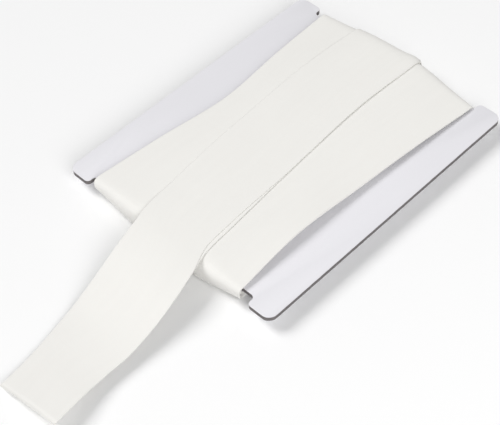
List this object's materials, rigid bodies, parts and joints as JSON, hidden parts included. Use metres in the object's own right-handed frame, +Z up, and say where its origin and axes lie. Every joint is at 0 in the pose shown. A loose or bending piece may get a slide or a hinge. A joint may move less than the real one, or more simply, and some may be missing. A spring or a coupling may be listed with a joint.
{
  "type": "roll of bias tape on a card",
  "caption": "Folded bias tape wound flat round the neck of an I-shaped card, with the end of the last turn hanging over one end of the winding and lying on the surface.",
  "frame": {"origin": "on the resting surface, at the middle of the winding's flat underside, straight under the centre of the card", "axes": "+X along the card's flange bars and the turns of tape, away from the loose end; +Y across the flange bars, toward the left band of turns as seen from the loose end's far side; +Z up, square to the card"},
  "size_m": [0.2014, 0.1, 0.0132],
  "materials": {
    "tape": "matt ivory plain-weave cotton, cut on the bias and pressed into a double fold",
    "board": "smooth white-faced board with a grey fibre core at the cut edges"
  },
  "bodies": {
    "root": {"card": "board", "winding": "tape", "loose_end": "tape"}
  },
  "joints": []
}
